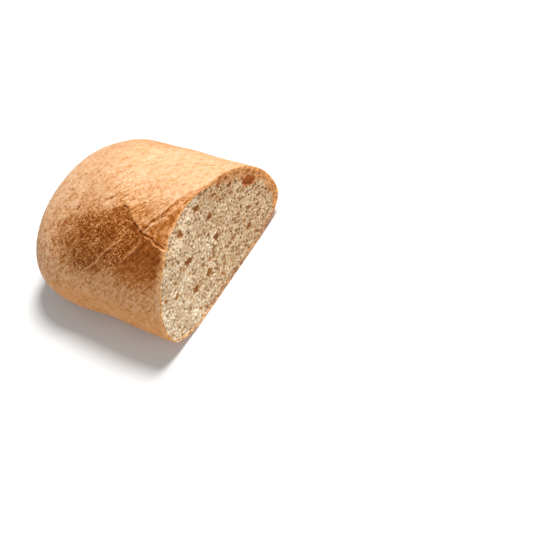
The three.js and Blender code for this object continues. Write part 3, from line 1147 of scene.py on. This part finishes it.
def loose_crumbs_tree():
    """Small torn crumbs that cling along the lower edge of the cut."""
    inputs = {
        "Geometry": "Geometry",
        "Spacing": 0.0015,
        "Edge Width": 2.6,
        "Reach Up": 0.012,
        "Corner": (0.0674, -0.0612, 0.0105),
        "Corner Reach": 0.0032,
        "Radius": 0.0005,
        "Ragged": 0.0004,
        "Seed": 7,
        "Material": "Material",
    }
    tree, given, result = new_tree("clinging_crumbs", "GeometryNodeTree", inputs, GEOMETRY_OUT)
    here = position(tree)
    by_edge = (stored_value(tree, "edge") < given["Edge Width"]) * (stored_value(tree, "face") > 0.5)
    low = place(tree, "ShaderNodeSeparateXYZ", {0: here})["Z"] < given["Reach Up"]
    low = low * (noise_field(here, 0.005) > 0.57)
    cornered = vectors("DISTANCE", here, given["Corner"]) < given["Corner Reach"]
    smallest, largest = LOOSE_SIZES
    inputs = {"Surface": given["Geometry"], "Selection": by_edge * maths("MAXIMUM", low, cornered)}
    inputs.update({"Spacing": given["Spacing"], "Smallest": smallest, "Largest": largest})
    inputs["Seed"] = given["Seed"]
    points = use_group(tree, SCATTER, inputs)["Points"]
    radius = stored_value(tree, "radius")
    sides = {"X": radius, "Y": radius * stored_value(tree, "stretch"), "Z": radius}
    ball = {"Radius": given["Radius"], "Subdivisions": 3}
    inputs = {
        "Points": points,
        "Instance": place(tree, "GeometryNodeMeshIcoSphere", ball)["Mesh"],
        "Rotation": random_value(tree, (0, 0, 0), FULL_TURN, TURN_SEED, "FLOAT_VECTOR"),
        "Scale": place(tree, "ShaderNodeCombineXYZ", sides)[0],
    }
    balls = realized(place(tree, "GeometryNodeInstanceOnPoints", inputs)["Instances"])
    uneven = (noise_field(here, 0.0007) - 0.5) * (given["Ragged"] * 2.0)
    crumbs = moved_by(balls, scaled(place(tree, "GeometryNodeInputNormal")[0], uneven))
    crumbs = stored(crumbs, "rind", remap(noise_field(here, 0.004), 0.4, 0.6, 0.0, 1.6))
    for name, value in LOOSE_VALUES.items():
        crumbs = stored(crumbs, name, value)
    finish_tree(crumbs, given["Material"], result)
    return tree


DRAW_MULTIPLIER = 16807
DRAW_MODULUS = 2147483647


def seeded_draw(seed):
    """Numbers from 0 to 1, the same ones each time: a multiplicative congruential draw."""
    state = seed
    while True:
        state = state * DRAW_MULTIPLIER % DRAW_MODULUS
        yield state / DRAW_MODULUS


def has_room(across, up, radius):
    """True where a bubble of the scatter is inside the crust and clear of the larger ones."""
    angle = math.atan2(up - BELLY, across)
    _, side, height = crust_points(np.zeros(1), np.array([angle]))[0]
    room = math.hypot(side, height - BELLY) - math.hypot(across, up - BELLY)
    gaps = (math.hypot(across - y, up - z) - long for y, z, long, *_ in LARGE_BUBBLES)
    return min(room, up) > CRUST_CLEAR + radius and min(gaps) > SCATTER_APART * radius


def scattered_bubbles():
    """The smaller bubbles, drawn in the same order as the solid's."""
    draw = seeded_draw(SCATTER_SEED)
    depths = seeded_draw(DEPTH_SEED)
    found = []
    for y in np.arange(-WIDTH / 2, WIDTH / 2, SCATTER_STEP):
        for z in np.arange(0, HEIGHT, SCATTER_STEP):
            across = y + SCATTER_JITTER * (2 * next(draw) - 1)
            up = z + SCATTER_JITTER * (2 * next(draw) - 1)
            radius = np.interp(next(draw), (0, 1), SCATTER_RADIUS)
            tilt = 180 * next(draw) - 90
            if has_room(across, up, radius):
                depth = np.interp(next(depths), (0, 1), SCATTER_DEPTH)
                found.append((across, up, SCATTER_STRETCH * radius, radius, tilt, depth))
    return found


def bubble_points():
    """A mesh of points for the bubbles, with the attributes that the dents read."""
    across, up, long, short, tilt, depth = np.array([*LARGE_BUBBLES, *scattered_bubbles()]).T
    places = np.column_stack([np.full(len(across), CUT_AT - CRUMB_BACK), across, up]) - SHIFT
    values = {"radius": short * MM, "stretch": long / short, "hollow": depth}
    mesh = mesh_from("large_bubbles", places, [], values)
    turn = np.radians(tilt)
    heading = np.column_stack([np.zeros(len(turn)), np.cos(turn), np.sin(turn)])
    mesh.attributes.new("heading", "FLOAT_VECTOR", "POINT").data.foreach_set("vector", heading.ravel())
    return new_object("large_bubbles", mesh)


# Shader groups that both the crust and the crumb use


def object_place(tree):
    return place(tree, "ShaderNodeTexCoord")["Object"]


def axis_of(vector, name):
    return place(vector.tree, "ShaderNodeSeparateXYZ", {0: vector})[name]


def surface_value(tree, name):
    return place(tree, "ShaderNodeAttribute", attribute_name=name)["Fac"]


def mixed(factor, first, second, blend="MIX"):
    """Two colours mixed, each a field or its red, green and blue."""
    inputs = {0: factor}
    for key, colour in ((6, first), (7, second)):
        inputs[key] = (*colour, 1) if isinstance(colour, tuple) else colour
    tree = tree_of(factor, first, second)
    return place(tree, "ShaderNodeMix", inputs, data_type="RGBA", blend_type=blend)[2]


BAKED_COLOURS = (
    (0.00, (0.80, 0.53, 0.325)),
    (0.28, (0.66, 0.35, 0.168)),
    (0.52, (0.47, 0.19, 0.055)),
    (0.78, (0.285, 0.078, 0.010)),
    (1.00, (0.155, 0.034, 0.002)),
)


def browning_group():
    """The colour of baked dough, from pale to nearly burnt."""
    tree, given, result = new_tree("oven_browning", "ShaderNodeTree", {"Bake": 0.5}, {"Colour": "Color"})
    ramp = place(tree, "ShaderNodeValToRGB", {"Fac": given["Bake"]})
    elements = ramp.node.color_ramp.elements
    while len(elements) < len(BAKED_COLOURS):
        elements.new(0.5)
    for element, (at, colour) in zip(elements, BAKED_COLOURS):
        element.position = at
        element.color = (*colour, 1)
    ramp["Color"].to(result["Colour"])
    return tree


def grain_group():
    """Fine unevenness of baked dough: grain from -1 to 1, and blots, hairlines and specks from 0 to 1."""
    outputs = {name: "Float" for name in ("Grain", "Blots", "Hairlines", "Specks")}
    tree, given, result = new_tree("dough_grain", "ShaderNodeTree", {"Size": 0.003}, outputs)
    here = object_place(tree)
    grain = stretched_noise(here, given["Size"], 3.0)
    grain.to(result["Grain"])
    remap(grain, 0.05, 0.45, smooth=True).to(result["Blots"])
    off_line = maths("ABSOLUTE", noise_field(here, given["Size"] * 2.0, 3.0) - 0.5)
    remap(off_line, 0.0, 0.03, 1.0, 0.0).to(result["Hairlines"])
    inputs = {"Vector": here, "Scale": 1.0 / given["Size"], "Randomness": 1.0}
    cells = place(tree, "ShaderNodeTexVoronoi", inputs, feature="F1")
    dot = remap(cells["Distance"], 0.15, 0.4, 1.0, 0.0, smooth=True)
    chosen = remap(axis_of(cells["Color"], 0), 0.55, 0.85)
    (dot * chosen).to(result["Specks"])
    return tree


# The cut crust's darker and lighter colour on each stretch of the rim
CUT_COLOURS = {
    "crown": ((0.60, 0.215, 0.050), (0.90, 0.46, 0.155)),
    "near": ((0.46, 0.175, 0.042), (0.74, 0.38, 0.125)),
    "base": ((0.27, 0.090, 0.028), (0.59, 0.31, 0.140)),
    "floury": ((0.46, 0.20, 0.075), (0.80, 0.50, 0.26)),
}


def cut_edge_group():
    """The colour of the crust where it is cut: orange on the crown, browner by the near side and the base."""
    inputs = {"Near": 0.0, "Base": 0.0, "Grain": 0.0}
    tree, given, result = new_tree("cut_edge", "ShaderNodeTree", inputs, {"Colour": "Color"})
    here = object_place(tree)
    blotch = remap(noise_field(here, 0.0035, 1.0), 0.38, 0.62)
    crown, near, base, floury = (mixed(blotch, *pair) for pair in CUT_COLOURS.values())
    base = mixed(remap(axis_of(here, "Y"), 0.0, -0.04), base, floury)
    colour = mixed(given["Base"], mixed(given["Near"], crown, near), base)
    shade = remap(given["Grain"], -1.0, 1.0, 0.55, 1.2)
    mixed(1.0, colour, shade, "MULTIPLY").to(result["Colour"])
    return tree


BROWNING = browning_group()
GRAIN = grain_group()
CUT_EDGE = cut_edge_group()


def cut_edge_colour(tree, grain):
    near, base = (surface_value(tree, name) for name in ("near_rim", "base_rim"))
    inputs = {"Near": near, "Base": base, "Grain": grain}
    return use_group(tree, CUT_EDGE, inputs)["Colour"]


# Materials


def material_tree(name):
    material = bpy.data.materials.new(name)
    material.use_nodes = True
    tree = material.node_tree
    return material, tree, tree.nodes["Principled BSDF"].inputs


def grains(tree, *sizes):
    return [use_group(tree, GRAIN, {"Size": size}) for size in sizes]


BUMP_DEPTH = 0.0001


def add_bump(height, strength, shader):
    inputs = {"Height": height, "Strength": strength, "Distance": BUMP_DEPTH}
    place(height.tree, "ShaderNodeBump", inputs)["Normal"].to(shader["Normal"])


BLUSH = (0.82, 0.46, 0.285)
# Painted warm bounce light, mixed in where the blush goes below zero
PAINTED_BOUNCE_GOLD = (0.63, 0.265, 0.070)
TORN_SKIN = (0.52, 0.17, 0.03)


def crust_material():
    """Baked crust: browned by region, flecked along its fibres, blistered on its dark patch, with painted
    highlights on its raised skin, ridges and lip, painted shade in its cracks and pits, and a painted gold
    bounce light low on its near side.
    """
    material, tree, shader = material_tree("baked_crust")
    broad, middling, fine, finest, blush = grains(tree, 0.008, 0.0030, 0.0016, 0.0010, 0.0052)
    names = ("fibrous", "lively", "patch", "strip", "ridge", "rosy")
    fibrous, lively, patch, strip, ridge, rosy = (surface_value(tree, name) for name in names)
    fibres = stretched_noise(fibre_vector(tree, surface_value), 0.0013, 3.0) * fibrous
    plainer = summed(1.0, (strip, -0.8), (patch, -0.35))
    flecks_and_highlights = summed(
        -0.17,
        (broad["Grain"], 0.10),
        (middling["Grain"], 0.12),
        (middling["Blots"], 0.20),
        (fine["Grain"], 0.16),
        (fine["Blots"], 0.14),
        (finest["Grain"], 0.14),
        (fibres, plainer * 0.12),
        (remap(fibres, 0.05, 0.55, smooth=True), plainer * 0.22),
        (fine["Hairlines"], -0.14),
        # Painted highlight: the raised skin is painted paler, as where its bumps catch the light
        (surface_value(tree, "raised"), -0.35),
    )
    blisters = summed(0.0, (finest["Grain"], 0.26), (middling["Specks"], -0.11), (fine["Specks"], 0.14))
    torn = summed(0.0, (middling["Grain"], 0.08), (fine["Grain"], 0.12), (finest["Grain"], 0.14))
    bake = summed(
        surface_value(tree, "bake"),
        (flecks_and_highlights, lively * remap(ridge, 0.0, 1.0, 1.0, 0.3)),
        (blisters, patch * remap(ridge, 0.0, 1.0, 1.0, 0.2)),
        (torn, strip),
        # Painted highlight: ridges and the lip's crest are painted paler
        (ridge, -0.48),
        # Painted shade: the crust is darkened in its pits and along its cracks and grooves, the deeper the
        # darker
        (remap(surface_value(tree, "pit"), 0.05, 0.5), 0.30),
        (surface_value(tree, "crack"), 0.35),
    )
    colour = use_group(tree, BROWNING, {"Bake": bake})["Colour"]
    pink = remap(blush["Grain"], -0.3, 1.0, 0.0, 0.22) * remap(bake, 0.5, 0.8, 1.0, 0.2)
    colour = mixed(maths("MULTIPLY", pink, rosy, clamp=True), colour, BLUSH)
    # Painted bounce light: a gold tint where the blush goes below zero, most on the low near side
    colour = mixed(remap(rosy, 0.0, -0.7, 0.0, 0.28), colour, PAINTED_BOUNCE_GOLD)
    colour = mixed(strip * 0.3, colour, TORN_SKIN)
    cut_rim = remap(surface_value(tree, "rim"), 0.0, 0.6, 0.0, 0.9)
    mixed(cut_rim, colour, cut_edge_colour(tree, fine["Grain"])).to(shader["Base Color"])
    remap(middling["Grain"], -1.0, 1.0, 0.5, 0.7).to(shader["Roughness"])
    shader["Specular IOR Level"].default_value = 0.1
    add_bump(summed(fine["Grain"], (fine["Hairlines"], 0.4)), 0.5, shader)
    return material


# Colours of the crumb, plain and toasted: its walls from dark to light, then the painted shade of its pores,
# hollows and holes
WALLS = ((0.83, 0.68, 0.47), (1.0, 0.92, 0.735))
TOASTED_WALLS = ((0.72, 0.355, 0.130), (1.0, 0.61, 0.31))
PORE_SHADE = ((0.425, 0.237, 0.098), (0.60, 0.25, 0.080))
HOLLOW_SHADE = ((0.56, 0.35, 0.178), (0.54, 0.225, 0.075))
HOLE_SHADE = ((0.40, 0.175, 0.055), (0.43, 0.135, 0.028))
# Painted highlight on the crumb's raised tips
TIP_HIGHLIGHT = (1.0, 0.91, 0.74)
FAR_SHADE = (0.82, 0.73, 0.635)
# Painted shade in the deep bubbles of the rind by the base's rim
BASE_PIT_SHADE = (0.13, 0.034, 0.010)


def crumb_material():
    """Open crumb: pale walls, toasted under the crown, with a painted highlight on each raised tip and
    painted shade in each pore, hollow and hole by its depth.
    """
    material, tree, shader = material_tree("open_crumb")
    broad, fine, middling = grains(tree, 0.012, 0.0012, 0.0045)
    names = ("bubble", "grain", "toast")
    bubble, grain, toast = (surface_value(tree, name) for name in names)
    hollow = remap(bubble, 0.05, 1.0, 0.0, 0.9)
    depth = remap(bubble, 0.6, 1.6, 0.0, 0.95)
    sunk = remap(surface_value(tree, "torn"), 0.0, 0.6)
    low = remap(grain, 0.1, 0.7)
    warm = remap(toast, 0.0, 0.35)
    patchy = summed(0.0, (middling["Grain"], 0.45), (fine["Grain"], 0.35))
    toast = remap(summed(toast, (patchy, warm)), 0.0, 0.92, 0.0, 0.92)
    pale = summed(0.0, (broad["Grain"], 0.5), (middling["Grain"], 0.6))
    light = mixed(remap(pale, -0.8, 0.8), *WALLS)
    light = mixed(toast, light, mixed(remap(middling["Grain"], -1.0, 1.0), *TOASTED_WALLS))
    shaded_pores = mixed(toast, *PORE_SHADE)
    across = axis_of(object_place(tree), "Y")
    foam = remap(surface_value(tree, "foam"), 0.05, 0.7, 0.0, 0.85) * remap(across, -0.055, -0.015, 0.7, 1.0)
    # Painted shade: where the surface sinks into foam, torn hollows, bubbles and holes its colour is painted
    # darker, the deeper the darker, with less foam shade on the near side
    colour = mixed(summed(0.0, (sunk, 0.5), (low, 0.35)), light, shaded_pores)
    colour = mixed(foam, colour, shaded_pores)
    colour = mixed(hollow, colour, mixed(warm, *HOLLOW_SHADE))
    colour = mixed(depth, colour, mixed(warm, *HOLE_SHADE))
    # Painted highlight: the raised crumb, clear of pores, hollows and toast, is painted nearly white
    tip_highlight = remap(grain, 0.0, 0.32, 1.15, 0.0)
    tip_highlight = summed(tip_highlight, (foam, -1.5), (sunk, -0.4), (hollow, -3.0), (toast, -0.85))
    colour = mixed(maths("MULTIPLY", tip_highlight, 0.95, clamp=True), colour, TIP_HIGHLIGHT)
    colour = mixed(remap(across, -0.06, 0.02), colour, FAR_SHADE, "MULTIPLY")
    rind = summed(surface_value(tree, "rind"), (fine["Grain"], 0.3), (middling["Grain"], 0.45))
    rind = remap(rind, 0.2, 1.15, 0.85, 0.0, smooth=True)
    colour = mixed(rind, colour, cut_edge_colour(tree, fine["Grain"]))
    # Painted shade: deep bubbles in the rind by the base's rim are painted dark red-brown, the deeper the
    # darker
    burnt = remap(rind, 0.0, 0.3) * surface_value(tree, "base_rim")
    mixed(burnt * depth, colour, BASE_PIT_SHADE).to(shader["Base Color"])
    shader["Roughness"].default_value = 0.85
    shader["Specular IOR Level"].default_value = 0.2
    shader["Subsurface Weight"].default_value = 0.12
    shader["Subsurface Radius"].default_value = (1.0, 0.7, 0.45)
    shader["Subsurface Scale"].default_value = 0.0015
    add_bump(fine["Grain"], 0.4, shader)
    return material


# The pieces


SHARP_EDGE = math.radians(55)


def keep_on_base(mesh):
    """Keeps every point on or above the plane that the loaf rests on, and behind the cut."""
    points = np.empty(3 * len(mesh.vertices), dtype=np.float32)
    mesh.vertices.foreach_get("co", points)
    points = points.reshape(-1, 3)
    points[:, 2] = np.maximum(points[:, 2], 0)
    points[:, 0] = np.minimum(points[:, 0], CUT_AT * MM)
    mesh.vertices.foreach_set("co", points.ravel())
    mesh.update()


def make_crust():
    piece = new_object("crust", crust_mesh())
    apply_tree(piece, crust_tree(), {"Material": crust_material()})
    keep_on_base(piece.data)
    piece.data.set_sharp_from_angle(angle=SHARP_EDGE)
    return piece


def make_crumb():
    piece = new_object("crumb", crumb_mesh())
    bubbles = bubble_points()
    apply_tree(piece, crumb_tree(), {"Large Bubbles": bubbles, "Material": crumb_material()})
    bpy.data.objects.remove(bubbles)
    return piece


def make_loose_crumbs(crumb):
    piece = new_object("loose_crumbs", crumb.data.copy())
    apply_tree(piece, loose_crumbs_tree(), {"Material": crumb.data.materials[0]})
    keep_on_base(piece.data)
    return piece


crust = make_crust()
crumb = make_crumb()
loose_crumbs = make_loose_crumbs(crumb)
for piece, slot in ((crust, "crust"), (crumb, "crumb"), (loose_crumbs, "crumb")):
    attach(piece, BODY)
for piece in (crust, crumb):
    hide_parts(NODE)


# Camera at the photograph's viewing angle


CAMERA_AZIMUTH = math.radians(56.83)
CAMERA_HEIGHT = math.radians(47.37)
CAMERA_ROLL = math.radians(-30.07)
CAMERA_AT = Vector((0.6429, -0.3501, 0.7235))
LENS = 101.2
SENSOR = 36.0


def camera_axes():
    """Right, up and back of the camera, in the part's frame."""
    a, e, r = CAMERA_AZIMUTH, CAMERA_HEIGHT, CAMERA_ROLL
    back = Vector((math.sin(a) * math.cos(e), -math.cos(a) * math.cos(e), math.sin(e)))
    level = Vector((math.cos(a), math.sin(a), 0))
    upright = back.cross(level)
    right = math.cos(r) * level + math.sin(r) * upright
    up = -math.sin(r) * level + math.cos(r) * upright
    return right, up, back


RIGHT, UP, BACK = camera_axes()


def turned_to(right, up, back):
    return Matrix((right, up, back)).transposed()


def make_camera():
    lens = bpy.data.cameras.new("camera")
    lens.lens = LENS
    lens.sensor_width = SENSOR
    lens.sensor_fit = "HORIZONTAL"
    lens.clip_start = 0.01
    lens.clip_end = 20
    camera = bpy.data.objects.new("camera", lens)
    camera.matrix_world = Matrix.Translation(CAMERA_AT) @ turned_to(RIGHT, UP, BACK).to_4x4()
    bpy.context.scene.collection.objects.link(camera)
    bpy.context.scene.camera = camera


make_camera()


# Studio: a white floor, a soft box overhead, a weak fill by the camera and a weaker light from one side


FLOOR_SIZE = 12.0
MIDDLE = Vector((0, 0, 0.03))
LAMP_COLOUR = (1.0, 0.99, 0.97)
# Soft boxes: direction as right, up and towards the camera, distance, size and power
SOFT_BOXES = {
    "overhead_box": ((0.08, 0.84, 0.46), 1.6, 0.6, 34),
    "fill_box": ((-0.32, -0.62, 0.69), 2.0, 1.4, 13),
    "side_box": ((0.74, -0.08, 0.67), 2.0, 0.7, 8.5),
}
SKY_COLOUR = (0.93, 0.975, 1.0, 1)
SKY_STRENGTH = 0.30
FLOOR_GREYS = ((0.86, 0.86, 0.86), (0.88, 0.88, 0.88))


def make_floor():
    half = FLOOR_SIZE / 2
    mesh = bpy.data.meshes.new("floor")
    corners = [(-half, -half, 0), (half, -half, 0), (half, half, 0), (-half, half, 0)]
    mesh.from_pydata(corners, [], [(0, 1, 2, 3)])
    material, tree, shader = material_tree("white_floor")
    mixed(noise_field(object_place(tree), 0.4), *FLOOR_GREYS).to(shader["Base Color"])
    shader["Roughness"].default_value = 0.8
    mesh.materials.append(material)
    new_object("floor", mesh)


def soft_box(name, direction, distance, size, power):
    """An area light that looks at the loaf."""
    light = bpy.data.lights.new(name, "AREA")
    light.shape = "DISK"
    light.size = size
    light.energy = power
    light.color = LAMP_COLOUR
    away = (direction[0] * RIGHT + direction[1] * UP + direction[2] * BACK).normalized()
    lamp = bpy.data.objects.new(name, light)
    lamp.location = MIDDLE + distance * away
    lamp.rotation_euler = away.to_track_quat("Z", "Y").to_euler()
    bpy.context.scene.collection.objects.link(lamp)


def make_world():
    world = bpy.data.worlds.new("studio")
    world.use_nodes = True
    sky = world.node_tree.nodes["Background"]
    sky.inputs["Color"].default_value = SKY_COLOUR
    sky.inputs["Strength"].default_value = SKY_STRENGTH
    bpy.context.scene.world = world


make_floor()
for name, settings in SOFT_BOXES.items():
    soft_box(name, *settings)
make_world()
bpy.context.scene.view_settings.view_transform = "Standard"
